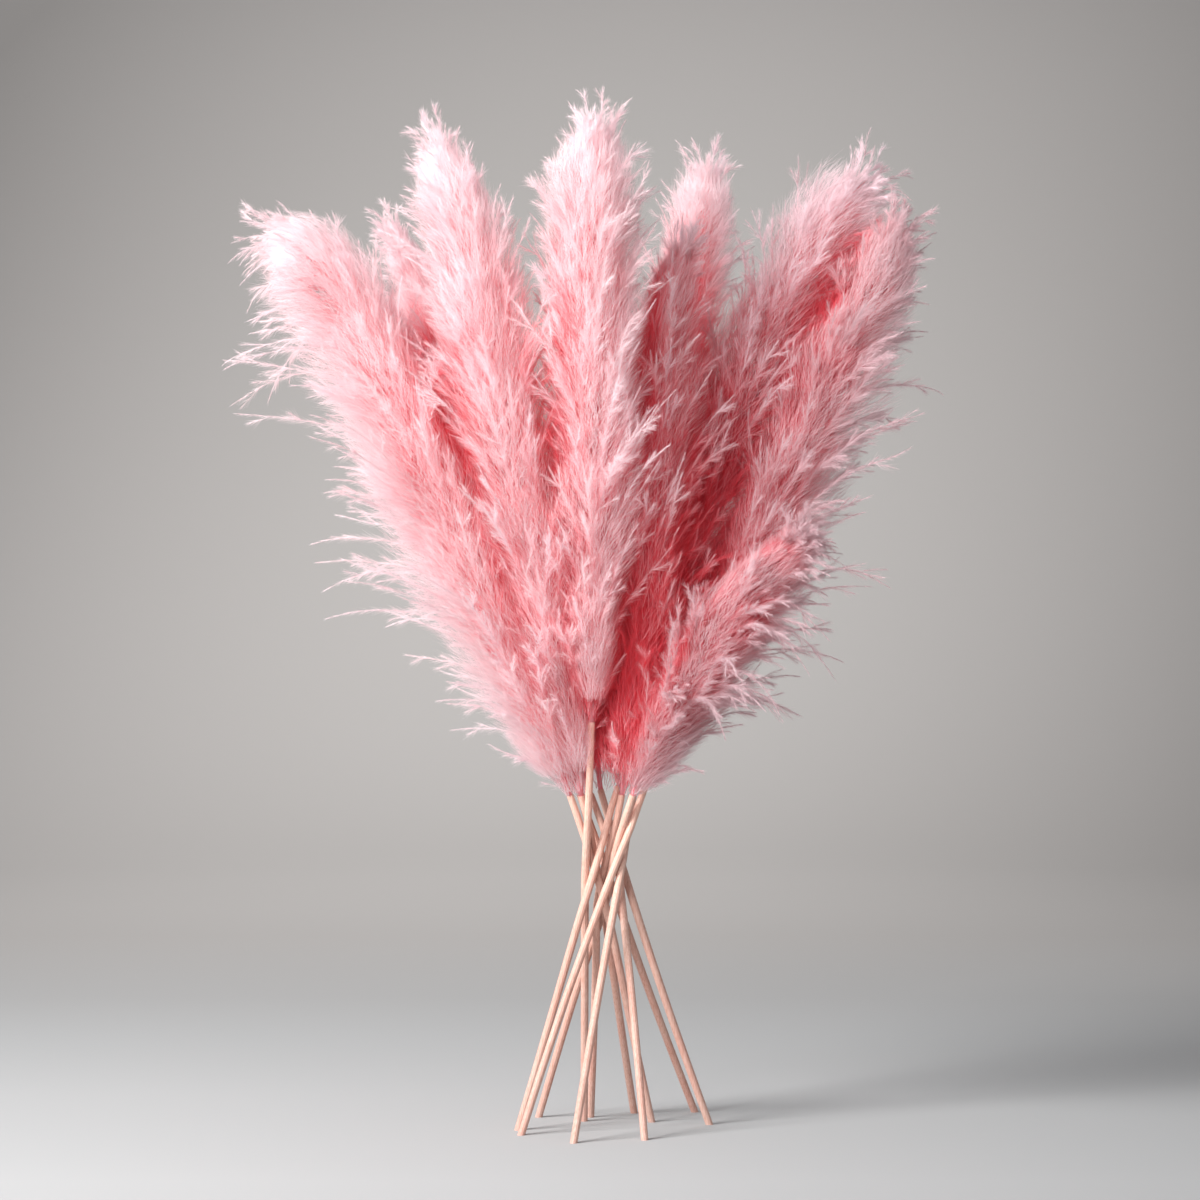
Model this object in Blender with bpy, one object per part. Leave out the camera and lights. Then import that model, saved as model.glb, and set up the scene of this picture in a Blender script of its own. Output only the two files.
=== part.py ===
"""A bundle of eleven dyed pampas grass stalks, standing unheld on its splayed cut ends.

Each stalk is a peeled stem and the feathery plume that it carries.  The stems lean
across one another at a narrow waist like the poles of a tripod: a stem whose foot is
at one side carries its plume to the other side.  Nothing ties them.

Metres, +Z up, the feet's cut ends on z = 0, and the origin at the middle of the
bundle's box.  +X is the bundle's right and -Y its front.
"""
import math

import bmesh
import bpy
import numpy as np
from mathutils import Matrix, Vector

# ---------------------------------------------------------------- driving dimensions
FOOT_RADIUS = 0.0039        # stem at its cut end
WAIST_RADIUS = 0.0042       # stem where the stems cross
NECK_RADIUS = 0.0036        # stem where the plume starts
COLLAR_RADIUS = 0.0040      # first ring of a plume, over its stem's end
STEM_CLEARANCE = 0.0005     # air between two stems that lean on each other
SEAT_GAP = 0.0009           # from a stem's end to its plume
PLUME_CLEARANCE = 0.0050    # air between two neighbouring plumes
PLUME_STEM_CLEARANCE = 0.0022
WAIST_HEIGHT = 0.262
STEM_SIDES_LEVEL = 4        # bevel resolution: twelve sides
STEM_STEP = 0.024           # length of one stem segment
PLUME_SIDES = 16
LEVEL_STEP = 0.008          # spacing of the levels at which stems are kept apart

# How full a plume is along its length, from the neck (0) to the tip (1).
FULLNESS = [(0.00, 0.07), (0.03, 0.28), (0.08, 0.44), (0.15, 0.56), (0.25, 0.70),
            (0.35, 0.82), (0.50, 0.95), (0.64, 1.00), (0.76, 0.94), (0.86, 0.76),
            (0.93, 0.52), (0.97, 0.32), (1.00, 0.10)]
RING_STATIONS = [0.0, 0.02, 0.06, 0.12, 0.20, 0.29, 0.38, 0.47, 0.56, 0.65, 0.74,
                 0.82, 0.89, 0.95, 1.0]

# One entry per stalk: the stem's route from its foot to its neck, the plume's route
# from there to its tip, the plume's fullest radius, and how much further its long
# lower branches hang out on the side that it leans to.
STALKS = {
    "far_right": dict(
        stem=[(-0.082, -0.052, 0.0), (-0.039, -0.038, 0.135), (0.009, -0.022, 0.262),
              (0.030, -0.016, 0.321), (0.047, -0.010, 0.363)],
        plume=[(0.095, -0.008, 0.461), (0.156, -0.004, 0.588), (0.211, 0.000, 0.714),
               (0.262, 0.004, 0.825), (0.307, 0.006, 0.910), (0.332, 0.006, 0.966)],
        radius=0.072, hang=0.24),
    "tall_right": dict(
        stem=[(-0.086, -0.020, 0.0), (-0.046, -0.018, 0.136), (-0.012, -0.016, 0.260),
              (0.008, -0.008, 0.316), (0.021, 0.000, 0.359)],
        plume=[(0.051, 0.012, 0.440), (0.082, 0.028, 0.545), (0.113, 0.040, 0.652),
               (0.145, 0.050, 0.748), (0.180, 0.055, 0.836), (0.222, 0.055, 0.915),
               (0.268, 0.053, 0.977), (0.312, 0.048, 1.022)],
        radius=0.056, hang=0.10),
    "front_right": dict(
        stem=[(-0.066, 0.066, 0.0), (-0.030, 0.045, 0.128), (0.010, 0.006, 0.260),
              (0.025, -0.012, 0.314), (0.036, -0.026, 0.352)],
        plume=[(0.071, -0.055, 0.431), (0.115, -0.090, 0.505), (0.163, -0.125, 0.568),
               (0.213, -0.150, 0.618)],
        radius=0.056, hang=0.15),
    "back_right": dict(
        stem=[(-0.027, -0.102, 0.0), (-0.003, -0.065, 0.142), (0.018, -0.030, 0.253),
              (0.026, -0.006, 0.300), (0.035, 0.020, 0.349)],
        plume=[(0.048, 0.052, 0.460), (0.063, 0.084, 0.599), (0.079, 0.112, 0.741),
               (0.096, 0.132, 0.884), (0.112, 0.142, 0.984), (0.122, 0.146, 1.056)],
        radius=0.050, hang=0.05),
    "front_centre": dict(
        stem=[(-0.017, 0.039, 0.0), (-0.016, 0.020, 0.132), (-0.016, -0.006, 0.267),
              (-0.011, -0.027, 0.341), (-0.009, -0.045, 0.429)],
        plume=[(-0.008, -0.061, 0.535), (-0.008, -0.072, 0.659), (-0.009, -0.079, 0.783),
               (-0.008, -0.082, 0.917), (-0.006, -0.081, 1.009), (-0.004, -0.078, 1.067)],
        radius=0.060, hang=0.00),
    "inner_right": dict(
        stem=[(-0.010, 0.066, 0.0), (-0.007, 0.045, 0.086), (0.003, 0.012, 0.238),
              (0.014, 0.000, 0.292), (0.023, -0.006, 0.351)],
        plume=[(0.037, -0.014, 0.451), (0.047, -0.018, 0.556), (0.058, -0.018, 0.693),
               (0.064, -0.014, 0.798), (0.073, -0.008, 0.872), (0.095, 0.000, 0.938)],
        radius=0.046, hang=0.05),
    "tall_left": dict(
        stem=[(0.037, 0.094, 0.0), (0.018, 0.055, 0.127), (0.005, 0.020, 0.232),
              (-0.003, 0.000, 0.292), (-0.018, -0.020, 0.351)],
        plume=[(-0.031, -0.037, 0.452), (-0.050, -0.048, 0.556), (-0.073, -0.058, 0.670),
               (-0.097, -0.063, 0.794), (-0.121, -0.062, 0.898), (-0.150, -0.060, 0.981),
               (-0.182, -0.055, 1.053)],
        radius=0.056, hang=0.08),
    "back_left": dict(
        stem=[(0.046, -0.083, 0.0), (0.034, -0.045, 0.139), (0.021, -0.008, 0.251),
              (0.010, 0.010, 0.300), (-0.009, 0.027, 0.349)],
        plume=[(-0.038, 0.060, 0.449), (-0.076, 0.090, 0.567), (-0.123, 0.115, 0.698),
               (-0.169, 0.130, 0.818), (-0.210, 0.136, 0.917), (-0.238, 0.136, 0.978)],
        radius=0.052, hang=0.08),
    "far_left": dict(
        stem=[(0.055, 0.033, 0.0), (0.027, 0.018, 0.132), (0.010, 0.004, 0.239),
              (-0.008, -0.008, 0.293), (-0.030, -0.018, 0.351)],
        plume=[(-0.058, -0.031, 0.415), (-0.104, -0.047, 0.520), (-0.151, -0.058, 0.623),
               (-0.202, -0.062, 0.737), (-0.247, -0.062, 0.836), (-0.283, -0.060, 0.900),
               (-0.321, -0.056, 0.934), (-0.368, -0.050, 0.938)],
        radius=0.074, hang=0.26),
    "inner_left": dict(
        stem=[(0.103, 0.101, 0.0), (0.055, 0.060, 0.127), (0.015, 0.026, 0.245),
              (0.000, 0.020, 0.291), (-0.021, 0.010, 0.350)],
        plume=[(-0.055, 0.028, 0.434), (-0.104, 0.050, 0.545), (-0.156, 0.068, 0.658),
               (-0.206, 0.080, 0.762), (-0.248, 0.085, 0.850)],
        radius=0.062, hang=0.15),
    "back_centre": dict(
        stem=[(0.116, 0.016, 0.0), (0.068, 0.014, 0.133), (0.029, 0.018, 0.252),
              (0.014, 0.026, 0.301), (0.000, 0.042, 0.353)],
        plume=[(-0.002, 0.084, 0.459), (-0.003, 0.126, 0.589), (-0.002, 0.162, 0.732),
               (0.000, 0.188, 0.867), (0.002, 0.200, 0.975)],
        radius=0.060, hang=0.06),
}

STEM_COLOUR = (0.72, 0.47, 0.36, 1.0)
PLUME_COLOUR = (0.88, 0.38, 0.44, 1.0)


# ---------------------------------------------------------------- curves
def spline(points, spacing, lead=None):
    """Points about `spacing` apart on a centripetal Catmull-Rom curve through `points`.

    `lead` is the direction in which the curve sets off from its first point.
    """
    p = [np.array(q, float) for q in points]
    first = p[0] - np.array(lead) * np.linalg.norm(p[1] - p[0]) if lead is not None \
        else 2 * p[0] - p[1]
    p = [first] + p + [2 * p[-1] - p[-2]]
    dense = []
    for a, b, c, d in zip(p, p[1:], p[2:], p[3:]):
        t0 = 0.0
        t1 = t0 + math.sqrt(np.linalg.norm(b - a))
        t2 = t1 + math.sqrt(np.linalg.norm(c - b))
        t3 = t2 + math.sqrt(np.linalg.norm(d - c))
        for t in np.linspace(t1, t2, 40, endpoint=False):
            ab = (t1 - t) / (t1 - t0) * a + (t - t0) / (t1 - t0) * b
            bc = (t2 - t) / (t2 - t1) * b + (t - t1) / (t2 - t1) * c
            cd = (t3 - t) / (t3 - t2) * c + (t - t2) / (t3 - t2) * d
            abc = (t2 - t) / (t2 - t0) * ab + (t - t0) / (t2 - t0) * bc
            bcd = (t3 - t) / (t3 - t1) * bc + (t - t1) / (t3 - t1) * cd
            dense.append((t2 - t) / (t2 - t1) * abc + (t - t1) / (t2 - t1) * bcd)
    dense.append(p[-2])
    return resample(np.array(dense), spacing)


def resample(line, spacing):
    """The polyline `line` cut again at even steps of about `spacing`."""
    run = np.concatenate([[0.0], np.cumsum(np.linalg.norm(np.diff(line, axis=0), axis=1))])
    count = max(2, int(round(run[-1] / spacing)) + 1)
    at = np.linspace(0.0, run[-1], count)
    return np.stack([np.interp(at, run, line[:, k]) for k in range(3)], axis=1)


def unit(v):
    return v / np.linalg.norm(v)


def frames(line):
    """Tangents and two side directions along a polyline, carried without twist."""
    tangents = np.gradient(line, axis=0)
    tangents /= np.linalg.norm(tangents, axis=1)[:, None]
    side = unit(np.cross(tangents[0], (0.0, 1.0, 0.0)))
    sides = []
    for t in tangents:
        side = unit(side - t * np.dot(side, t))
        sides.append(side)
    sides = np.array(sides)
    return tangents, sides, np.cross(tangents, sides)


def stem_radius(z, neck_z):
    """A stem is stoutest at the waist and thins to its foot and to its neck."""
    return float(np.interp(z, [0.0, WAIST_HEIGHT, neck_z],
                           [FOOT_RADIUS, WAIST_RADIUS, NECK_RADIUS]))


# ---------------------------------------------------------------- stems kept apart
def settle_stems():
    """Stem centre lines, eased apart level by level until none touches another."""
    names = list(STALKS)
    lines, tops = [], []
    for name in names:
        line = spline(STALKS[name]["stem"], 0.002)
        lines.append(line)
        tops.append(line[-1][2])
    top = max(tops)
    levels = np.arange(0.0, top + LEVEL_STEP, LEVEL_STEP)
    count, n = len(levels), len(names)
    place = np.zeros((n, count, 2))
    present = np.zeros((n, count), bool)
    for i, line in enumerate(lines):
        lean = (line[-1] - line[-6]) / (line[-1][2] - line[-6][2])
        for k, z in enumerate(levels):
            inside = z <= tops[i]
            present[i, k] = z <= tops[i] + 0.010
            for c in range(2):
                place[i, k, c] = np.interp(z, line[:, 2], line[:, c]) if inside \
                    else line[-1][c] + lean[c] * (z - tops[i])
    start = place.copy()
    radius = np.array([[stem_radius(z, tops[i]) for z in levels] for i in range(n)])
    for turn in range(900):
        slope = np.gradient(place, LEVEL_STEP, axis=1)
        stretch = np.sqrt(1.0 + (slope ** 2).sum(axis=2))
        push = np.zeros_like(place)
        for i in range(n):
            for j in range(i + 1, n):
                gap = place[i] - place[j]
                dist = np.linalg.norm(gap, axis=1)
                need = (radius[i] * stretch[i] + radius[j] * stretch[j]) + STEM_CLEARANCE + 0.0006
                short = np.where(present[i] & present[j], np.maximum(0.0, need - dist), 0.0)
                step = gap / np.maximum(dist, 1e-6)[:, None] * (short * 0.5)[:, None]
                push[i] += step
                push[j] -= step
        place += push * 0.7
        if turn < 860:
            pull = (start - place)
            place += 0.004 * pull
            bend = np.zeros_like(place)
            bend[:, 1:-1] = (place[:, 2:] + place[:, :-2]) / 2 - place[:, 1:-1]
            place += 0.45 * bend
    result = {}
    for i, name in enumerate(names):
        pts = [(place[i, k, 0], place[i, k, 1], levels[k]) for k in range(count)
               if levels[k] < tops[i] - 0.3 * LEVEL_STEP]
        end = tuple(np.interp(tops[i], levels, place[i, :, c]) for c in range(2)) + (tops[i],)
        result[name] = np.array(pts + [end])
    return result


# ---------------------------------------------------------------- plumes kept apart
def plume_axes(stems):
    axes = {}
    for name, stalk in STALKS.items():
        stem = stems[name]
        lead = unit(stem[-1] - stem[-4])
        neck = stem[-1] + lead * SEAT_GAP
        axes[name] = spline([tuple(neck)] + stalk["plume"], 0.004, lead=lead)
    return axes


def fullness(t):
    return np.interp(t, [a for a, _ in FULLNESS], [b for _, b in FULLNESS])


def nearest_ratio(points, line, radii):
    """Least distance-to-radius over the stations of a plume's axis, with that radius."""
    best = np.full(len(points), np.inf)
    size = np.zeros(len(points))
    for c, r in zip(line, radii):
        d = np.linalg.norm(points - c, axis=1) / r
        closer = d < best
        best[closer] = d[closer]
        size[closer] = r
    return best, size


def plume_rings(name, axes, stems):
    """Ring points of one plume: as full as it grows, but clear of every neighbour."""
    stalk, axis = STALKS[name], axes[name]
    tangents, sides, ups = frames(axis)
    share = np.linspace(0.0, 1.0, len(axis))
    axis_radii = {k: stalk_k["radius"] * np.maximum(fullness(np.linspace(0, 1, len(axes[k]))), 0.12)
                  for k, stalk_k in STALKS.items()}
    angles = np.arange(PLUME_SIDES) * 2 * math.pi / PLUME_SIDES
    reach = np.zeros((len(RING_STATIONS), PLUME_SIDES))
    centre, rays = [], []
    for s, station in enumerate(RING_STATIONS):
        c = np.array([np.interp(station, share, axis[:, k]) for k in range(3)])
        t = unit(np.array([np.interp(station, share, tangents[:, k]) for k in range(3)]))
        u = np.array([np.interp(station, share, sides[:, k]) for k in range(3)])
        u = unit(u - t * np.dot(u, t))
        v = np.cross(t, u)
        down = np.array((0.0, 0.0, -1.0))
        down = down - t * np.dot(down, t)
        lean = np.linalg.norm(down)
        down = down / max(lean, 1e-6)
        ray = np.cos(angles)[:, None] * u + np.sin(angles)[:, None] * v
        hang = 1.0 + stalk["hang"] * min(1.0, lean * 1.8) * (ray @ down) * (1.0 - station ** 4)
        full = stalk["radius"] * float(fullness(station)) * hang
        centre.append(c)
        rays.append(ray)
        for a in range(PLUME_SIDES):
            steps = np.linspace(0.0, full[a], 90)[1:]
            points = c + steps[:, None] * ray[a]
            free = np.ones(len(points), bool)
            own, own_r = nearest_ratio(points, axis, axis_radii[name])
            for other in STALKS:
                if other == name:
                    continue
                theirs, their_r = nearest_ratio(points, axes[other], axis_radii[other])
                # the border between two plumes is where both reach equally far
                free &= (theirs - own) * own_r * their_r / (own_r + their_r) > PLUME_CLEARANCE / 2
                stem = stems[other]
                near = np.min(np.linalg.norm(points[:, None] - stem[None, ::1], axis=2), axis=1)
                free &= near > WAIST_RADIUS + PLUME_STEM_CLEARANCE
            bad = np.nonzero(~free)[0]
            limit = steps[bad[0] - 1] if len(bad) and bad[0] > 0 else (
                0.0 if len(bad) else full[a])
            reach[s, a] = limit
    reach[0] = np.minimum(reach[0], COLLAR_RADIUS)
    # a ring never reaches past the narrower of its neighbours' limits on a cut side
    eased = reach.copy()
    for s in range(1, len(RING_STATIONS) - 1):
        for a in range(PLUME_SIDES):
            around = (reach[s, a - 1] + reach[s, (a + 1) % PLUME_SIDES]) / 2
            along = (reach[s - 1, a] + reach[s + 1, a]) / 2
            eased[s, a] = min(reach[s, a], 0.5 * around + 0.5 * reach[s, a], max(along, 0.55 * reach[s, a]))
    floor = np.array([0.0022 if 0 < s < len(RING_STATIONS) - 1 else 0.0018
                      for s in range(len(RING_STATIONS))])
    eased = np.maximum(eased, floor[:, None])
    return [c + e[:, None] * r for c, e, r in zip(centre, eased, rays)]


# ---------------------------------------------------------------- objects
def material(name, colour, roughness):
    m = bpy.data.materials.new(name)
    m.use_nodes = True
    shader = m.node_tree.nodes["Principled BSDF"]
    shader.inputs["Base Color"].default_value = colour
    shader.inputs["Roughness"].default_value = roughness
    shader.inputs["Metallic"].default_value = 0.0
    return m


def make_stem(name, line, stuff, collection):
    """A tapering tube on the stem's route, its foot cut level so that it stands flat."""
    foot = line[0]
    lead = unit(line[3] - line[0])
    route = resample(line, STEM_STEP)
    route = np.vstack([foot - lead * 0.012, route])
    top = line[-1][2]
    data = bpy.data.curves.new(name + "_route", "CURVE")
    data.dimensions = "3D"
    data.bevel_depth = 1.0
    data.bevel_resolution = STEM_SIDES_LEVEL
    data.use_fill_caps = True
    run = data.splines.new("POLY")
    run.points.add(len(route) - 1)
    for point, p in zip(run.points, route):
        point.co = (*(p - foot), 1.0)
        point.radius = stem_radius(max(p[2], 0.0), top)
    rod = bpy.data.objects.new(name + "_rod", data)
    rod.location = foot
    collection.objects.link(rod)
    bpy.context.view_layer.update()
    graph = bpy.context.evaluated_depsgraph_get()
    mesh = bpy.data.meshes.new_from_object(rod.evaluated_get(graph))
    mesh.name = name
    bm = bmesh.new()
    bm.from_mesh(mesh)
    bmesh.ops.remove_doubles(bm, verts=bm.verts, dist=1e-6)
    cut = bmesh.ops.bisect_plane(bm, geom=bm.verts[:] + bm.edges[:] + bm.faces[:],
                                 dist=1e-7, plane_co=(0, 0, 0), plane_no=(0, 0, 1),
                                 clear_inner=True)
    rim = [e for e in cut["geom_cut"] if isinstance(e, bmesh.types.BMEdge)]
    bmesh.ops.edgeloop_fill(bm, edges=rim)
    bmesh.ops.recalc_face_normals(bm, faces=bm.faces)
    bm.to_mesh(mesh)
    bm.free()
    mesh.materials.clear()
    mesh.materials.append(stuff)
    stem = bpy.data.objects.new(name, mesh)
    stem.matrix_world = rod.matrix_world.copy()
    collection.objects.link(stem)
    bpy.data.objects.remove(rod)
    mesh.shade_smooth()
    mesh.set_sharp_from_angle(angle=math.radians(50))
    return stem


def make_plume(name, rings, stuff, collection):
    """A closed loft through the plume's rings, which differ in shape along its length."""
    neck = rings[0].mean(axis=0)
    bm = bmesh.new()
    loops = [[bm.verts.new(Vector(p - neck)) for p in ring] for ring in rings]
    for low, high in zip(loops, loops[1:]):
        for a in range(PLUME_SIDES):
            b = (a + 1) % PLUME_SIDES
            bm.faces.new((low[a], low[b], high[b], high[a]))
    bm.faces.new(list(reversed(loops[0])))
    crown = bm.verts.new(Vector(rings[-1].mean(axis=0) - neck
                                + unit(rings[-1].mean(axis=0) - rings[-2].mean(axis=0)) * 0.003))
    for a in range(PLUME_SIDES):
        bm.faces.new((loops[-1][a], loops[-1][(a + 1) % PLUME_SIDES], crown))
    bmesh.ops.triangulate(bm, faces=bm.faces)
    bmesh.ops.recalc_face_normals(bm, faces=bm.faces)
    mesh = bpy.data.meshes.new(name)
    bm.to_mesh(mesh)
    bm.free()
    mesh.materials.append(stuff)
    plume = bpy.data.objects.new(name, mesh)
    plume.location = neck
    collection.objects.link(plume)
    mesh.shade_smooth()
    return plume


def centre_on_box(objects):
    """Move every piece sideways so that the bundle's box is centred on the origin."""
    bpy.context.view_layer.update()
    corners = np.array([list(o.matrix_world @ v.co) for o in objects for v in o.data.vertices])
    low, high = corners.min(axis=0), corners.max(axis=0)
    shift = Vector(((low[0] + high[0]) / -2, (low[1] + high[1]) / -2, 0.0))
    for o in objects:
        o.matrix_world = Matrix.Translation(shift) @ o.matrix_world
    bpy.context.view_layer.update()
    print("box", np.round(high - low, 5), "shift", np.round(list(shift), 5))


def main():
    for o in list(bpy.data.objects):
        bpy.data.objects.remove(o, do_unlink=True)
    collection = bpy.data.collections.new("pampas_grass_bundle")
    bpy.context.scene.collection.children.link(collection)
    stem_stuff = material("peeled_stem", STEM_COLOUR, 0.55)
    plume_stuff = material("dyed_plume", PLUME_COLOUR, 0.95)
    stems = settle_stems()
    axes = plume_axes(stems)
    objects = []
    for name in STALKS:
        objects.append(make_stem("stem_" + name, stems[name], stem_stuff, collection))
        objects.append(make_plume("plume_" + name, plume_rings(name, axes, stems),
                                  plume_stuff, collection))
    centre_on_box(objects)


main()
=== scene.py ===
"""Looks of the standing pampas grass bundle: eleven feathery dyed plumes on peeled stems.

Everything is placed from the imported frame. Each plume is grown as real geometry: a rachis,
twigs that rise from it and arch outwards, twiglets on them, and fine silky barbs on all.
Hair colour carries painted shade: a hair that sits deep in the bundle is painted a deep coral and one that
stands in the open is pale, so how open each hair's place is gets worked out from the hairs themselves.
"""
import math

import bpy
import numpy as np
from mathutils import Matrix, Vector


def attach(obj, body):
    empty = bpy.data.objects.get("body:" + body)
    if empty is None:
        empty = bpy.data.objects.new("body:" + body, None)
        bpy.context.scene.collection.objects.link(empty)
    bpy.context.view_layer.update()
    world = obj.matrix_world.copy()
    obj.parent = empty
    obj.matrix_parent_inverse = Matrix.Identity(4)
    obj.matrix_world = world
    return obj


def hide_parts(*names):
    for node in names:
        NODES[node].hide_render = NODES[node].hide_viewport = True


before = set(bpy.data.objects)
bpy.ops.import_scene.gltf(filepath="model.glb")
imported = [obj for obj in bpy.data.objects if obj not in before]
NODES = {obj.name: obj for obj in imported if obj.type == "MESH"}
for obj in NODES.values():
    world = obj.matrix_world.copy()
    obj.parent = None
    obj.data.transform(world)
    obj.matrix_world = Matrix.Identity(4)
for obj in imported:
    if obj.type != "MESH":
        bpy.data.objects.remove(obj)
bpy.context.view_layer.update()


# --------------------------------------------------------------------------- the frame
def node_points(node):
    """Vertices and edges of a CAD node, in metres in the frame."""
    mesh = NODES[node].data
    co = np.empty(len(mesh.vertices) * 3)
    mesh.vertices.foreach_get("co", co)
    edges = np.empty(len(mesh.edges) * 2, dtype=np.int64)
    mesh.edges.foreach_get("vertices", edges)
    m = np.array(NODES[node].matrix_world)
    co = co.reshape(-1, 3) @ m[:3, :3].T + m[:3, 3]
    return co, edges.reshape(-1, 2)


def stem_line(node, step=0.004):
    """The centre line of a stem: the middle of its section at each height."""
    co, edges = node_points(node)
    a, b = co[edges[:, 0]], co[edges[:, 1]]
    top = co[:, 2].max()
    heights = np.append(np.arange(0.0005, top - 0.004, step), top - 0.004)
    out = []
    for z in heights:
        low = np.minimum(a[:, 2], b[:, 2])
        high = np.maximum(a[:, 2], b[:, 2])
        cross = (low <= z) & (high > z)
        t = (z - a[cross, 2]) / (b[cross, 2] - a[cross, 2])
        p = a[cross] + t[:, None] * (b[cross] - a[cross])
        mid = (p.min(axis=0) + p.max(axis=0)) / 2
        out.append((mid[0], mid[1], z))
    return np.array(out)


# --------------------------------------------------------------------------- the stalks
# The plumes' routes from their stems' ends to their tips, in metres, in the frame that
# the model was drawn in; FRAME_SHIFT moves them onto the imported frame.
FOOT_DRAWN = (-0.017, 0.039)
_low = node_points("stem_front_centre")[0]
_foot = _low[_low[:, 2] < 1e-4].mean(axis=0)
FRAME_SHIFT = np.array([_foot[0] - FOOT_DRAWN[0], _foot[1] - FOOT_DRAWN[1], 0.0])

# radius: half the plume's width at its fullest; hang: how much further it reaches on its
# lower side; twigs: how many; sprigs: the share of twigs that stand out of the mass;
# droop: how far a twig's end falls, as a share of its length; dye: painted shade, how much deeper its
# colour is made, for plumes that sit more in shade; dusk: painted shade, how much duller and greyer it is
# made because it stands on the side away from the key light; foot, brush: how much fuller its lowest
# part and its tip are; floss: how much of the silky floss it carries.
PLUMES = {
    "far_right": dict(route=[(0.095, -0.008, 0.461), (0.156, -0.004, 0.588), (0.209, 0.000, 0.714),
                             (0.256, 0.004, 0.825), (0.297, 0.006, 0.910), (0.318, 0.006, 0.960)],
                      radius=0.072, hang=0.26, twigs=260, sprigs=0.16, droop=0.16, deeper_painted_shade=0.25, duller_painted_shade=1.0, brush=0.3),
    "tall_right": dict(route=[(0.051, 0.012, 0.440), (0.082, 0.028, 0.545), (0.113, 0.040, 0.652),
                              (0.145, 0.050, 0.748), (0.180, 0.055, 0.836), (0.222, 0.055, 0.915),
                              (0.260, 0.053, 0.980), (0.295, 0.048, 1.014)],
                       radius=0.079, hang=0.02, twigs=260, sprigs=0.14, droop=0.12, deeper_painted_shade=0.08,
                       duller_painted_shade=0.65, foot=0.9, brush=0.6),
    "front_right": dict(route=[(0.071, -0.055, 0.431), (0.115, -0.090, 0.505), (0.160, -0.125, 0.568),
                               (0.200, -0.150, 0.612)],
                        radius=0.051, hang=0.02, twigs=220, sprigs=0.22, droop=0.20, deeper_painted_shade=0.12, duller_painted_shade=1.0, brush=0.5,
                        foot=0.6, floss=0.5),
    "back_right": dict(route=[(0.048, 0.052, 0.460), (0.063, 0.084, 0.599), (0.079, 0.112, 0.741),
                              (0.096, 0.132, 0.884), (0.112, 0.142, 0.984), (0.119, 0.146, 1.040)],
                       radius=0.065, hang=0.02, twigs=230, sprigs=0.08, droop=0.08, deeper_painted_shade=0.09, brush=0.6),
    "front_centre": dict(route=[(-0.008, -0.061, 0.535), (-0.008, -0.072, 0.659), (-0.009, -0.079, 0.783),
                                (-0.008, -0.082, 0.917), (-0.006, -0.081, 1.009), (-0.004, -0.078, 1.050)],
                         radius=0.072, hang=0.00, twigs=270, sprigs=0.10, droop=0.06, deeper_painted_shade=0.05, brush=0.3),
    "inner_right": dict(route=[(0.037, -0.014, 0.451), (0.047, -0.018, 0.556), (0.058, -0.018, 0.693),
                               (0.064, -0.014, 0.798), (0.073, -0.008, 0.872), (0.090, 0.000, 0.930)],
                        radius=0.060, hang=0.05, twigs=230, sprigs=0.26, droop=0.10, deeper_painted_shade=0.20, foot=1.8),
    "tall_left": dict(route=[(-0.034, -0.040, 0.452), (-0.061, -0.058, 0.556), (-0.087, -0.072, 0.670),
                             (-0.110, -0.078, 0.794), (-0.130, -0.075, 0.898), (-0.153, -0.066, 0.981),
                             (-0.172, -0.058, 1.036)],
                      radius=0.069, hang=0.06, twigs=270, sprigs=0.10, droop=0.08, brush=0.25),
    "back_left": dict(route=[(-0.038, 0.060, 0.449), (-0.076, 0.090, 0.567), (-0.123, 0.115, 0.698),
                             (-0.169, 0.130, 0.818), (-0.206, 0.136, 0.915), (-0.228, 0.136, 0.965)],
                      radius=0.059, hang=0.05, twigs=220, sprigs=0.08, droop=0.08),
    "far_left": dict(route=[(-0.058, -0.031, 0.415), (-0.104, -0.047, 0.520), (-0.151, -0.058, 0.623),
                            (-0.202, -0.062, 0.737), (-0.247, -0.062, 0.836), (-0.283, -0.060, 0.900),
                            (-0.318, -0.056, 0.932), (-0.350, -0.050, 0.940)],
                     radius=0.080, hang=0.25, twigs=280, sprigs=0.18, droop=0.16, brush=0.55),
    "inner_left": dict(route=[(-0.055, 0.028, 0.434), (-0.104, 0.050, 0.545), (-0.156, 0.068, 0.658),
                              (-0.206, 0.080, 0.762), (-0.244, 0.085, 0.842)],
                       radius=0.074, hang=0.12, twigs=220, sprigs=0.12, droop=0.12, brush=0.6),
    "back_centre": dict(route=[(-0.002, 0.084, 0.459), (-0.003, 0.126, 0.589), (-0.002, 0.162, 0.732),
                               (0.000, 0.188, 0.867), (0.002, 0.200, 0.965)],
                        radius=0.066, hang=0.04, twigs=220, sprigs=0.08, droop=0.08, foot=1.4),
}
FULLNESS = [(0.00, 0.14), (0.03, 0.30), (0.08, 0.44), (0.15, 0.57), (0.25, 0.72),
            (0.35, 0.84), (0.50, 0.95), (0.62, 1.00), (0.73, 0.95), (0.81, 0.85),
            (0.88, 0.71), (0.94, 0.53), (1.00, 0.29)]
TWIG_LENGTH = [(0.00, 0.090), (0.08, 0.118), (0.25, 0.150), (0.50, 0.150), (0.70, 0.126),
               (0.85, 0.090), (0.95, 0.060), (1.00, 0.046)]


def unit(v):
    v = np.asarray(v, float)
    return v / np.maximum(np.linalg.norm(v, axis=-1, keepdims=True), 1e-12)


def table(rows, at):
    return np.interp(at, [a for a, _ in rows], [b for _, b in rows])


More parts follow.
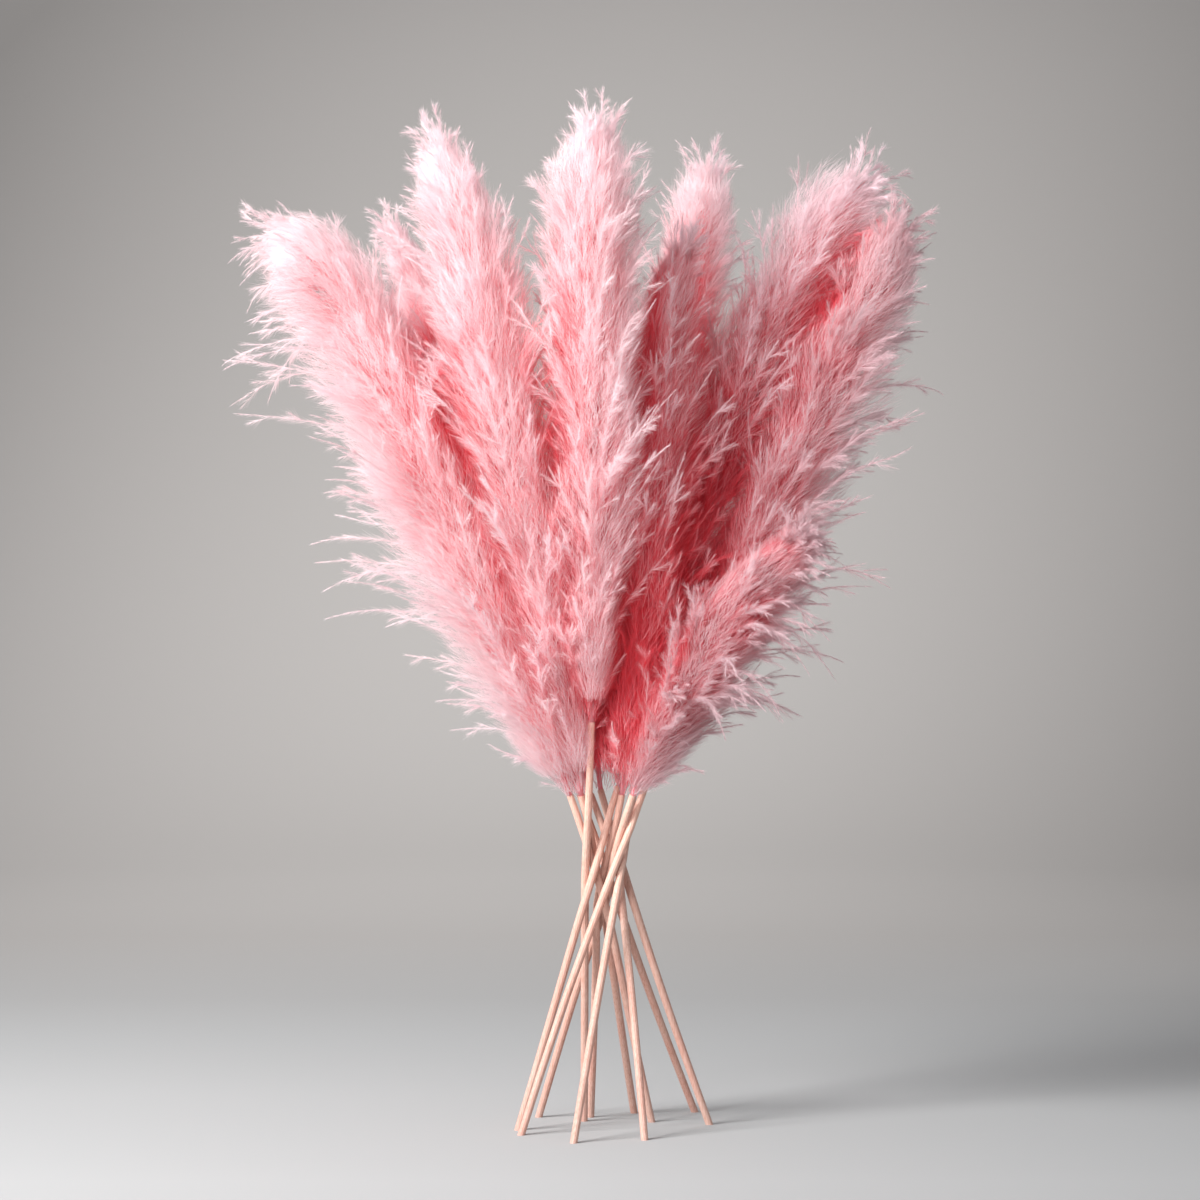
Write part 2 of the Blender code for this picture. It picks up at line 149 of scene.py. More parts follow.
def spline(points, spacing, lead=None):
    """Points about `spacing` apart on a centripetal Catmull-Rom curve through `points`."""
    p = [np.array(q, float) for q in points]
    first = p[0] - np.array(lead) * np.linalg.norm(p[1] - p[0]) if lead is not None \
        else 2 * p[0] - p[1]
    p = [first] + p + [2 * p[-1] - p[-2]]
    dense = []
    for a, b, c, d in zip(p, p[1:], p[2:], p[3:]):
        t0 = 0.0
        t1 = t0 + math.sqrt(np.linalg.norm(b - a))
        t2 = t1 + math.sqrt(np.linalg.norm(c - b))
        t3 = t2 + math.sqrt(np.linalg.norm(d - c))
        t = np.linspace(t1, t2, 40, endpoint=False)[:, None]
        ab = (t1 - t) / (t1 - t0) * a + (t - t0) / (t1 - t0) * b
        bc = (t2 - t) / (t2 - t1) * b + (t - t1) / (t2 - t1) * c
        cd = (t3 - t) / (t3 - t2) * c + (t - t2) / (t3 - t2) * d
        abc = (t2 - t) / (t2 - t0) * ab + (t - t0) / (t2 - t0) * bc
        bcd = (t3 - t) / (t3 - t1) * bc + (t - t1) / (t3 - t1) * cd
        dense.append((t2 - t) / (t2 - t1) * abc + (t - t1) / (t2 - t1) * bcd)
    dense = np.vstack(dense + [p[-2][None]])
    run = np.concatenate([[0.0], np.cumsum(np.linalg.norm(np.diff(dense, axis=0), axis=1))])
    count = max(2, int(round(run[-1] / spacing)) + 1)
    at = np.linspace(0.0, run[-1], count)
    return np.stack([np.interp(at, run, dense[:, k]) for k in range(3)], axis=1)


def lerp_rows(rows, at):
    """`rows` read at positions `at`, 0 to 1, between its evenly spaced rows."""
    n = len(rows) - 1
    x = np.clip(at, 0.0, 1.0) * n
    i = np.minimum(x.astype(int), n - 1)
    f = (x - i)[..., None]
    return rows[i] * (1 - f) + rows[i + 1] * f


def along_paths(paths, which, u):
    """Points and directions on the paths numbered `which`, at shares `u` of their points."""
    k = paths.shape[1]
    x = np.clip(u, 0.0, 1.0) * (k - 1)
    i = np.minimum(x.astype(int), k - 2)
    f = (x - i)[:, None]
    a, b = paths[which, i], paths[which, i + 1]
    before = paths[which, np.maximum(i - 1, 0)]
    after = paths[which, np.minimum(i + 2, k - 1)]
    way = unit((b - before) * (1 - f) + (after - a) * f)
    return a * (1 - f) + b * f, way


def lean(way, angle, rng):
    """Each direction turned by `angle` towards a random side."""
    r = rng.normal(size=way.shape)
    side = unit(r - way * (r * way).sum(-1, keepdims=True))
    return way * np.cos(angle)[:, None] + side * np.sin(angle)[:, None], side


# --------------------------------------------------------------------------- growing
def grow(name, spec, rng):
    """One plume: its rachis, twigs and hairs, as arrays."""
    stem = stem_line("stem_" + name)
    lead = unit(stem[-1] - stem[-6])
    route = [tuple(stem[-1] + lead * 0.002)] + [tuple(np.array(p) + FRAME_SHIFT) for p in spec["route"]]
    axis = spline(route, 0.004, lead=lead)
    length = np.linalg.norm(np.diff(axis, axis=0), axis=1).sum()
    tangent = unit(np.gradient(axis, axis=0))
    side = np.empty_like(axis)
    s = unit(np.cross(tangent[0], (0.0, 1.0, 0.0)))
    for i, t in enumerate(tangent):
        s = unit(s - t * np.dot(s, t))
        side[i] = s
    up = np.cross(tangent, side)
    down = np.array([0, 0, -1.0]) + tangent * tangent[:, 2:3]
    tilt = np.linalg.norm(down, axis=1, keepdims=True)
    down = down / np.maximum(tilt, 1e-6) * np.minimum(1.0, tilt * 1.8)

    def ray_at(t, theta):
        return np.cos(theta)[..., None] * lerp_rows(side, t) + np.sin(theta)[..., None] * lerp_rows(up, t)

    turn = rng.uniform(0, 2 * math.pi, 3)

    def at(t, theta, share):
        over = np.maximum(t - 1.0, 0.0)[..., None] * length
        c = lerp_rows(axis, t) + lerp_rows(tangent, t) * over
        ray = ray_at(t, theta)
        low = (ray * lerp_rows(down, t)).sum(-1)
        reach = table(FULLNESS, np.minimum(t, 1.0)) * spec["radius"] * (1.0 + spec["hang"] * low)
        reach = reach * (1 + spec.get("foot", 0.0) * np.exp(-t / 0.13))
        end = np.clip((t - 0.78) / 0.22, 0, 1)
        reach = reach * (1 + spec.get("brush", 0.0) * end * end * (3 - 2 * end))
        m = t * length / 0.6
        reach = reach * (1 + 0.10 * np.sin(2 * theta + 11 * m + turn[0]) + 0.08 * np.sin(3 * theta - 19 * m + turn[1])
                         + 0.07 * np.sin(theta + 33 * m + turn[2]))
        return c + ray * (reach * share)[..., None], low

    # --- twigs rise along the rachis, then arch out to the plume's skin
    n = spec["twigs"]
    t0 = 0.965 * ((np.arange(n) + rng.random(n)) / n) ** 0.94
    theta = np.arange(n) * 2.39996 + rng.normal(0, 0.35, n)
    long = table(TWIG_LENGTH, t0) * rng.uniform(0.80, 1.15, n) * (0.55 + 0.45 * min(1.0, length / 0.5))
    kind = rng.random(n)
    low0 = (ray_at(t0, theta) * lerp_rows(down, t0)).sum(-1)
    sprig = (kind < spec["sprigs"] * (1.0 + 0.9 * low0)) & (t0 > 0.06) & (t0 < 0.9)
    inner = (kind > 0.70)
    reach = rng.uniform(0.84, 1.22, n)
    reach = np.where(inner, rng.uniform(0.35, 0.86, n), reach)
    reach = np.where(sprig, rng.uniform(1.16, 1.42, n) + 0.24 * np.clip(low0, 0, 1), reach)
    long = np.where(sprig, long * 1.15, long)
    t1 = t0 + long * 0.92 / length
    theta1 = theta + rng.normal(0, 0.22, n)
    start, _ = at(t0, theta, np.full(n, 0.04))
    end, low = at(t1, theta1, reach)
    ray1 = ray_at(t1, theta1)
    chord = np.linalg.norm(end - start, axis=1, keepdims=True)
    flare = np.radians(rng.uniform(28, 48, n) + 14 * np.clip(low, 0, 1) )[:, None]
    leave = np.radians(rng.uniform(16, 34, n))[:, None]
    t_low, t_high = lerp_rows(tangent, t0), lerp_rows(tangent, t1)
    c1 = start + (t_low * np.cos(leave) + ray_at(t0, theta) * np.sin(leave)) * chord * 0.36
    c2 = end - (t_high * np.cos(flare) + ray1 * np.sin(flare)) * chord * 0.33
    k = 12
    u = np.linspace(0.0, 1.0, k)[None, :, None]
    paths = ((1 - u) ** 3 * start[:, None] + 3 * (1 - u) ** 2 * u * c1[:, None]
             + 3 * (1 - u) * u ** 2 * c2[:, None] + u ** 3 * end[:, None])
    fall = spec["droop"] * rng.uniform(0.2, 1.3, n) * (0.55 + 0.45 * np.clip(low, 0, 1)) \
        * np.where(sprig, 2.4, 1.0) * long
    paths[..., 2] -= fall[:, None] * u[..., 0] ** 2.6
    for wave in (1.3, 2.7):
        push = rng.normal(0, 0.0018 / wave, (n, 1, 3))
        paths = paths + push * u * np.sin(2 * math.pi * (wave * u + rng.random((n, 1, 1))))
    thick = np.interp(np.linspace(0, 1, k), [0, 0.5, 1], [0.00050, 0.00032, 0.00012])[None] * np.ones((n, 1))

    # --- twiglets on the lower part of each twig
    many2 = 7 * n
    share = long / long.sum()
    twig2 = np.sort(rng.choice(n, many2, p=share))
    u2 = rng.uniform(0.06, 0.86, many2)
    base2, way2 = along_paths(paths, twig2, u2)
    dir2, _ = lean(way2, np.radians(rng.uniform(14, 34, many2)), rng)
    dir2[:, 2] -= 0.10
    dir2 = unit(dir2)
    len2 = rng.uniform(0.018, 0.040, many2) * (1 - 0.40 * u2) * np.clip(long[twig2] / 0.12, 0.5, 1.1)

    # --- barbs along twigs and twiglets
    def barbs(base, way, longest, taper, spread, high):
        m = len(base)
        d, out = lean(way, np.radians(rng.uniform(spread[0], spread[1], m)) * (0.45 + 0.55 * taper), rng)
        d[:, 2] -= 0.12
        size = rng.uniform(0.55, 1.0, m) * longest * (0.34 + 0.66 * taper) * (1 - 0.25 * high)
        return base, unit(d), size

    near_tip = np.clip((t0 - 0.84) / 0.12, 0, 1)
    many1 = 275 * n
    w1 = 0.08 + 0.92 * rng.random(many1) ** 0.85
    own1 = rng.choice(n, many1, p=share)
    b1, way1 = along_paths(paths, own1, w1)
    b1, d1, s1 = barbs(b1, way1, 0.0190, 1 - np.clip((w1 - 0.62) / 0.38, 0, 1), (12, 36), near_tip[own1])
    w2 = rng.random(many2 * 48)
    own2 = np.repeat(np.arange(many2), 48)
    b2 = base2[own2] + dir2[own2] * (len2[own2] * w2)[:, None]
    b2, d2, s2 = barbs(b2, dir2[own2], 0.0175, 1 - np.clip((w2 - 0.60) / 0.40, 0, 1), (12, 32),
                       near_tip[twig2[own2]])

    # --- down packed round the rachis
    m3 = int(9 * n)
    t3, th3 = rng.uniform(0.0, 0.97, m3), rng.uniform(0, 2 * math.pi, m3)
    sh3 = np.sqrt(rng.random(m3)) * 0.45
    b3, _ = at(t3, th3, sh3)
    d3 = unit(at(t3 + 0.05, th3, sh3 + 0.16)[0] - b3 + rng.normal(0, 0.005, b3.shape))
    s3 = rng.uniform(0.014, 0.026, m3)

    # --- long silky floss that closes the plume's skin
    m4 = int(165 * spec.get("floss", 1.0) * n)
    t4, th4 = rng.uniform(0.04, 0.95, m4), rng.uniform(0, 2 * math.pi, m4)
    sh4 = rng.uniform(0.28, 0.70, m4)
    b4, _ = at(t4, th4, sh4)
    s4 = rng.uniform(0.020, 0.034, m4)
    e4, _ = at(t4 + s4 * 0.9 / length, th4 + rng.normal(0, 0.16, m4), sh4 + rng.uniform(0.10, 0.28, m4))
    d4 = unit(e4 - b4)
    d4[:, 2] -= 0.12
    d4 = unit(d4)

    twig_tint = rng.random(n)
    return dict(
        name=name, deeper_painted_shade=spec.get("deeper_painted_shade", 0.0), duller_painted_shade=spec.get("duller_painted_shade", 0.0), axis=axis, paths=paths, thick=thick, twig_tint=twig_tint,
        base=np.vstack([b1, b2, b3, base2, b4]),
        way=np.vstack([d1, d2, d3, dir2, d4]),
        size=np.concatenate([s1, s2, s3, len2, s4]),
        width=np.concatenate([rng.uniform(0.00024, 0.00042, len(b1)), rng.uniform(0.00022, 0.00038, len(b2)),
                              rng.uniform(0.0006, 0.0011, m3), rng.uniform(0.00045, 0.00065, len(base2)),
                              rng.uniform(0.00024, 0.00042, m4)]),
        far=np.concatenate([w1, 0.4 + 0.5 * w2, np.full(m3, 0.1), np.full(len(base2), 0.35), sh4]),
        tint=np.concatenate([twig_tint[own1], twig_tint[twig2[own2]], rng.random(m3), twig_tint[twig2], rng.random(m4)]),
    )


def openness(grown, cell=0.010):
    """How open each point's place in the bundle is, 0 to 1, as a function of points.

    The hairs' area is counted in cells, and what is left of light from 26 ways round is
    followed through them.
    """
    mid = np.vstack([g["base"] + g["way"] * g["size"][:, None] / 2 for g in grown])
    area = np.concatenate([g["size"] * g["width"] * 0.5 for g in grown])
    low = mid.min(axis=0) - 4 * cell
    shape = np.ceil((mid.max(axis=0) + 4 * cell - low) / cell).astype(int)
    at = ((mid - low) / cell).astype(int)
    flat = np.ravel_multi_index(at.T, shape)
    dense = np.bincount(flat, weights=area, minlength=int(np.prod(shape))).reshape(shape) / cell ** 3
    for ax in (0, 1, 2) * 3:
        dense = (np.roll(dense, 1, ax) + 2 * dense + np.roll(dense, -1, ax)) / 4
    dense = (0.6 * dense * cell).astype(np.float32)
    total, weights = np.zeros(shape, np.float32), 0.0
    pad = 32
    big = np.pad(dense, pad)
    for dx in (-1, 0, 1):
        for dy in (-1, 0, 1):
            for dz in (-1, 0, 1):
                if dx == dy == dz == 0:
                    continue
                far = math.sqrt(dx * dx + dy * dy + dz * dz)
                run = np.zeros(shape, np.float32)
                for step in range(1, pad):
                    x, y, z = pad + dx * step, pad + dy * step, pad + dz * step
                    run += big[x:x + shape[0], y:y + shape[1], z:z + shape[2]] * far
                weight = 1.0 + 0.35 * dz / far
                total += weight * np.exp(-run)
                weights += weight
    total /= weights

    def read(points):
        x = (points - low) / cell - 0.5
        i = np.clip(np.floor(x).astype(int), 0, shape - 2)
        f = np.clip(x - i, 0, 1)
        out = 0.0
        for cx in (0, 1):
            for cy in (0, 1):
                for cz in (0, 1):
                    w = (f[:, 0] if cx else 1 - f[:, 0]) * (f[:, 1] if cy else 1 - f[:, 1]) \
                        * (f[:, 2] if cz else 1 - f[:, 2])
                    out = out + w * total[i[:, 0] + cx, i[:, 1] + cy, i[:, 2] + cz]
        return out

    return read


# --------------------------------------------------------------------------- meshes
def add_mesh(name, verts, faces, uvs, material, smooth=True):
    """A mesh of triangles from arrays. uvs holds one pair per vertex, written per corner."""
    mesh = bpy.data.meshes.new(name)
    mesh.vertices.add(len(verts))
    mesh.vertices.foreach_set("co", np.asarray(verts, dtype=np.float32).ravel())
    mesh.loops.add(faces.size)
    mesh.loops.foreach_set("vertex_index", faces.astype(np.int32).ravel())
    mesh.polygons.add(len(faces))
    mesh.polygons.foreach_set("loop_start", np.arange(0, faces.size, 3, dtype=np.int32))
    mesh.polygons.foreach_set("use_smooth", np.full(len(faces), smooth, dtype=bool))
    layer = mesh.uv_layers.new(name="OFBake")
    layer.data.foreach_set("uv", np.asarray(uvs, dtype=np.float32)[faces.ravel()].ravel())
    mesh.update(calc_edges=True)
    mesh.validate()
    mesh.materials.append(material)
    obj = bpy.data.objects.new(name, mesh)
    bpy.context.scene.collection.objects.link(obj)
    return obj


def blades(base, direction, length, width, facing, tone, shade):
    """Flat tapering hairs, one triangle per row, each turned to face `facing` as far as it can.

    tone: from deep (0) to pale (1), which carries painted shade; shade: the hair's own tint, 0 to 1, whose low end is
    painted shade on some plumes.
    """
    n = len(base)
    side = unit(np.cross(direction, facing)) * (width / 2)[:, None]
    verts = np.empty((n, 3, 3))
    verts[:, 0] = base - side
    verts[:, 1] = base + side
    verts[:, 2] = base + direction * length[:, None]
    faces = np.arange(n * 3).reshape(n, 3)
    uv = np.empty((n, 3, 2))
    uv[:, 0] = np.stack([tone, shade], axis=1)
    uv[:, 1] = np.stack([tone, shade + 0.004], axis=1)
    uv[:, 2] = np.stack([tone + 0.05, shade], axis=1)
    return verts.reshape(-1, 3), faces, np.clip(uv, 0.002, 0.998).reshape(-1, 2)


def tubes(paths, radii, sides, tone, shade):
    """Closed tapering tubes, one per path (n, k, 3) with radii (n, k)."""
    n, k, _ = paths.shape
    tangent = unit(np.gradient(paths, axis=1))
    helper = np.where(np.abs(tangent[..., 2:3]) < 0.9, np.array([[[0, 0, 1.0]]]), np.array([[[1.0, 0, 0]]]))
    side = unit(np.cross(tangent, helper))
    up = np.cross(tangent, side)
    ang = np.arange(sides) * 2 * math.pi / sides
    ring = (np.cos(ang)[None, None, :, None] * side[:, :, None] +
            np.sin(ang)[None, None, :, None] * up[:, :, None])
    verts = paths[:, :, None] + ring * radii[:, :, None, None]
    index = np.arange(n * k * sides).reshape(n, k, sides)
    a, b = index[:, :-1], index[:, 1:]
    a2, b2 = np.roll(a, -1, axis=2), np.roll(b, -1, axis=2)
    quads = np.stack([np.stack([a, a2, b2], -1), np.stack([a, b2, b], -1)], -2).reshape(-1, 3)
    caps = []
    for j in range(1, sides - 1):
        caps.append(np.stack([index[:, 0, 0], index[:, 0, j + 1], index[:, 0, j]], -1))
        caps.append(np.stack([index[:, -1, 0], index[:, -1, j], index[:, -1, j + 1]], -1))
    faces = np.vstack([quads] + caps)
    u = np.broadcast_to(tone[:, :, None], (n, k, sides))
    v = np.broadcast_to(shade[:, None, None], (n, k, sides)) + np.linspace(0, 0.004, sides)
    uv = np.clip(np.stack([u, v], -1), 0.002, 0.998)
    return verts.reshape(-1, 3), faces, uv.reshape(-1, 2)


def merge(parts):
    verts, faces, uvs, at = [], [], [], 0
    for v, f, u in parts:
        verts.append(v)
        faces.append(f + at)
        uvs.append(u)
        at += len(v)
    return np.vstack(verts), np.vstack(faces), np.vstack(uvs)


# --------------------------------------------------------------------------- materials
def node(tree, kind, at, **values):
    n = tree.nodes.new(kind)
    n.location = at
    for key, value in values.items():
        setattr(n, key, value)
    return n


def ramp(tree, at, stops, mode="LINEAR"):
    r = node(tree, "ShaderNodeValToRGB", at)
    r.color_ramp.interpolation = mode
    e = r.color_ramp.elements
    while len(e) < len(stops):
        e.new(0.5)
    for element, (pos, colour) in zip(e, stops):
        element.position = pos
        element.color = (*colour, 1.0)
    return r


TRANSLUCENT = 0.54    # how much of the light that meets a hair goes on through it


def plume_material():
    """Silky dyed hair with painted shade: deep coral where it sits deep, pale pink in the open, and it lets light
    through.
    """
    m = bpy.data.materials.new("dyed_plume")
    m.use_nodes = True
    t = m.node_tree
    shader = t.nodes["Principled BSDF"]
    shader.inputs["Roughness"].default_value = 0.55
    shader.inputs["Specular IOR Level"].default_value = 0.30
    uv = node(t, "ShaderNodeUVMap", (-1200, 0), uv_map="OFBake")
    split = node(t, "ShaderNodeSeparateXYZ", (-1000, 0))
    t.links.new(uv.outputs["UV"], split.inputs[0])
    # painted shade: the dyed pink deepens to a saturated coral for hairs shut in the bundle and pales for hairs in the
    # open
    painted_depth_shade = ramp(t, (-800, 120), [(0.00, (0.98, 0.13, 0.18)), (0.14, (0.99, 0.37, 0.42)),
                                  (0.34, (0.985, 0.71, 0.74)), (0.60, (0.975, 0.82, 0.845)),
                                  (1.00, (0.965, 0.85, 0.875))])
    t.links.new(split.outputs["X"], painted_depth_shade.inputs["Fac"])
    # the hair's own tint: near white with small random differences over the ramp's upper part; its low, greyer end,
    # where dusk moves a plume's hairs, is painted shade
    tint = ramp(t, (-800, -160), [(0.00, (0.80, 0.70, 0.708)), (0.28, (0.87, 0.795, 0.805)),
                                  (0.36, (0.97, 0.95, 0.96)), (0.62, (1.00, 1.00, 1.00)),
                                  (0.84, (1.0, 0.97, 0.96)), (1.00, (1.00, 1.00, 1.00))])
    t.links.new(split.outputs["Y"], tint.inputs["Fac"])
    mix = node(t, "ShaderNodeMix", (-450, 60), data_type="RGBA", blend_type="MULTIPLY")
    mix.inputs["Factor"].default_value = 1.0
    t.links.new(painted_depth_shade.outputs["Color"], mix.inputs["A"])
    t.links.new(tint.outputs["Color"], mix.inputs["B"])
    t.links.new(mix.outputs["Result"], shader.inputs["Base Color"])
    glow = node(t, "ShaderNodeBsdfTranslucent", (0, -200))
    t.links.new(mix.outputs["Result"], glow.inputs["Color"])
    both = node(t, "ShaderNodeMixShader", (300, 0))
    both.inputs["Fac"].default_value = TRANSLUCENT
    t.links.new(shader.outputs["BSDF"], both.inputs[1])
    t.links.new(glow.outputs["BSDF"], both.inputs[2])
    t.links.new(both.outputs["Shader"], t.nodes["Material Output"].inputs["Surface"])
    return m


def stem_material():
    """Peeled reed: pale peach with fine lengthwise streaks and a dyed pink blush, darker and greyer towards its foot.
    """
    m = bpy.data.materials.new("peeled_stem")
    m.use_nodes = True
    t = m.node_tree
    shader = t.nodes["Principled BSDF"]
    shader.inputs["Specular IOR Level"].default_value = 0.4
    coord = node(t, "ShaderNodeTexCoord", (-1500, 0))
    grain_map = node(t, "ShaderNodeMapping", (-1300, 100))
    grain_map.inputs["Scale"].default_value = (900.0, 900.0, 22.0)
    t.links.new(coord.outputs["Object"], grain_map.inputs["Vector"])
    grain = node(t, "ShaderNodeTexNoise", (-1100, 100))
    grain.inputs["Scale"].default_value = 1.0
    grain.inputs["Detail"].default_value = 5.0
    grain.inputs["Roughness"].default_value = 0.6
    t.links.new(grain_map.outputs["Vector"], grain.inputs["Vector"])
    blotch = node(t, "ShaderNodeTexNoise", (-1100, -200))
    blotch.inputs["Scale"].default_value = 26.0
    blotch.inputs["Detail"].default_value = 3.0
    t.links.new(coord.outputs["Object"], blotch.inputs["Vector"])
    base = ramp(t, (-850, 100), [(0.25, (0.58, 0.31, 0.23)), (0.45, (0.74, 0.45, 0.36)),
                                 (0.62, (0.82, 0.54, 0.45)), (0.80, (0.89, 0.64, 0.565))])
    t.links.new(grain.outputs["Fac"], base.inputs["Fac"])
    blush = ramp(t, (-850, -200), [(0.30, (1.00, 0.86, 0.84)), (0.65, (1.0, 1.0, 1.0))])
    t.links.new(blotch.outputs["Fac"], blush.inputs["Fac"])
    mix = node(t, "ShaderNodeMix", (-500, 60), data_type="RGBA", blend_type="MULTIPLY")
    mix.inputs["Factor"].default_value = 1.0
    t.links.new(base.outputs["Color"], mix.inputs["A"])
    t.links.new(blush.outputs["Color"], mix.inputs["B"])
    # darker and greyer towards the foot of each stem: full colour from 0.40 m up, greying below that, most at the floor
    height = node(t, "ShaderNodeSeparateXYZ", (-1300, -420))
    t.links.new(coord.outputs["Object"], height.inputs[0])
    greyer_towards_foot = ramp(t, (-850, -480), [(0.00, (0.70, 0.70, 0.71)), (0.22, (0.76, 0.76, 0.76)), (0.40, (1.0, 1.0, 0.99))])
    t.links.new(height.outputs["Z"], greyer_towards_foot.inputs["Fac"])
    pale = node(t, "ShaderNodeMix", (-250, 60), data_type="RGBA", blend_type="MULTIPLY")
    pale.inputs["Factor"].default_value = 1.0
    t.links.new(mix.outputs["Result"], pale.inputs["A"])
    t.links.new(greyer_towards_foot.outputs["Color"], pale.inputs["B"])
    t.links.new(pale.outputs["Result"], shader.inputs["Base Color"])
    rough = ramp(t, (-500, -260), [(0.3, (0.62,) * 3), (0.7, (0.45,) * 3)])
    t.links.new(grain.outputs["Fac"], rough.inputs["Fac"])
    t.links.new(rough.outputs["Color"], shader.inputs["Roughness"])
    bump = node(t, "ShaderNodeBump", (-300, -380))
    bump.inputs["Strength"].default_value = 0.35
    bump.inputs["Distance"].default_value = 0.0004
    t.links.new(grain.outputs["Fac"], bump.inputs["Height"])
    t.links.new(bump.outputs["Normal"], shader.inputs["Normal"])
    return m


PLUME = plume_material()
STEM = stem_material()

# --------------------------------------------------------------------------- the plumes
GROWN = [grow(name, spec, np.random.default_rng(101 + i)) for i, (name, spec) in enumerate(PLUMES.items())]
OPEN = openness(GROWN)


def painted_shade_tone_of(points):
    """Painted shade tone: from 0, shut in on every side, to 1, out in the open."""
    e = OPEN(points)
    return np.clip((e - 0.04) / 0.39, 0, 1) ** 0.75


ROOM = np.array([[0.352, 0.386], [0.190, 0.225]])


def within(v):
    """Hair ends that reach past the bundle's room are bent in softly."""
    v = v.copy()
    for ax, (start, stop) in enumerate(ROOM):
        far = np.abs(v[:, ax]) > start
        v[far, ax] = np.sign(v[far, ax]) * (start + (stop - start) * np.tanh((np.abs(v[far, ax]) - start) / (stop - start)))
    high = v[:, 2] > 1.075
    v[high, 2] = 1.075 + 0.03 * np.tanh((v[high, 2] - 1.075) / 0.03)
    v[:, 2] = np.maximum(v[:, 2], 0.001)
    return v


def dress(g, rng):
    """A grown plume's meshes, in three pieces, which together stand for the CAD plume."""
    name = g["name"]
    k = g["paths"].shape[1]
    tip_z = g["base"] + g["way"] * g["size"][:, None]
    # painted shade: each hair's tone comes from how open its place is, a deeper, redder coral where it is shut in and
    # paler in the open and towards its twig's end, with random differences by tuft and by hair
    tone = painted_shade_tone_of(tip_z) + 0.05 * (g["far"] - 0.5) + rng.normal(0, 0.03, len(tip_z))
    tuft = rng.normal(0, 0.028, len(g["twig_tint"]))
    tone = tone + np.interp(g["tint"], np.sort(g["twig_tint"]), tuft[np.argsort(g["twig_tint"])])
    shade = np.clip(0.65 * g["tint"] + 0.35 * rng.random(len(tone)), 0.01, 0.985)
    # painted shade: on the plumes on the side away from the key light, dusk moves the tint into the ramp's duller,
    # greyer low end
    duller_painted_shade = g["duller_painted_shade"]
    shade = duller_painted_shade * (0.01 + 0.27 * shade) + (1 - duller_painted_shade) * (0.36 + 0.63 * shade)
    # painted shade: plumes that sit more in shade have their colour made deeper all over by their dye value
    tone = np.clip(tone - g["deeper_painted_shade"], 0.01, 0.86)
    # a hair shows its flat side outwards from its plume, more or less
    near = g["axis"][np.clip(np.searchsorted(g["axis"][:, 2], g["base"][:, 2]), 0, len(g["axis"]) - 1)]
    facing = unit(unit(g["base"] - near) + rng.normal(0, 0.38, g["base"].shape))
    # painted shade on the twigs as well, from how open their place is, paler towards their ends
    twig_tone = painted_shade_tone_of(g["paths"].reshape(-1, 3)).reshape(g["paths"].shape[:2])
    # the twigs get the same painted shade through dusk
    twig_shade = duller_painted_shade * (0.01 + 0.27 * g["twig_tint"]) + (1 - duller_painted_shade) * (0.36 + 0.60 * g["twig_tint"])
    twig_tone = np.clip(twig_tone * 0.75 + 0.15 * np.linspace(0, 1, k)[None], 0, 1)
    cuts = np.quantile(g["base"][:, 2], (1 / 3, 2 / 3))
    hair_part = np.digitize(g["base"][:, 2], cuts)
    twig_part = np.digitize(g["paths"][:, 0, 2], np.quantile(g["paths"][:, 0, 2], (1 / 3, 2 / 3)))
    for number, part in enumerate(("lower", "middle", "upper")):
        hairs, twigs = hair_part == number, twig_part == number
        parts = [tubes(g["paths"][twigs], g["thick"][twigs], 3, twig_tone[twigs], twig_shade[twigs])]
        if part == "lower":
            rk = 60
            ts = np.linspace(0, 0.985, rk)
            parts.append(tubes(lerp_rows(g["axis"], ts)[None], np.linspace(0.0030, 0.0005, rk)[None], 6,
                               np.full((1, rk), 0.2), np.array([0.5])))
        parts.append(blades(g["base"][hairs], g["way"][hairs], g["size"][hairs], g["width"][hairs],
                            facing[hairs], tone[hairs], shade[hairs]))
        verts, faces, uvs = merge(parts)
        verts = within(verts)
        obj = add_mesh(f"plume_{name}_{part}", verts, faces, uvs, PLUME)
        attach(obj, "root")
        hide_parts("plume_" + name)


for i, g in enumerate(GROWN):
    dress(g, np.random.default_rng(501 + i))

# --------------------------------------------------------------------------- the stems
for name in PLUMES:
    obj = NODES["stem_" + name]
    obj.data.materials.clear()
    obj.data.materials.append(STEM)


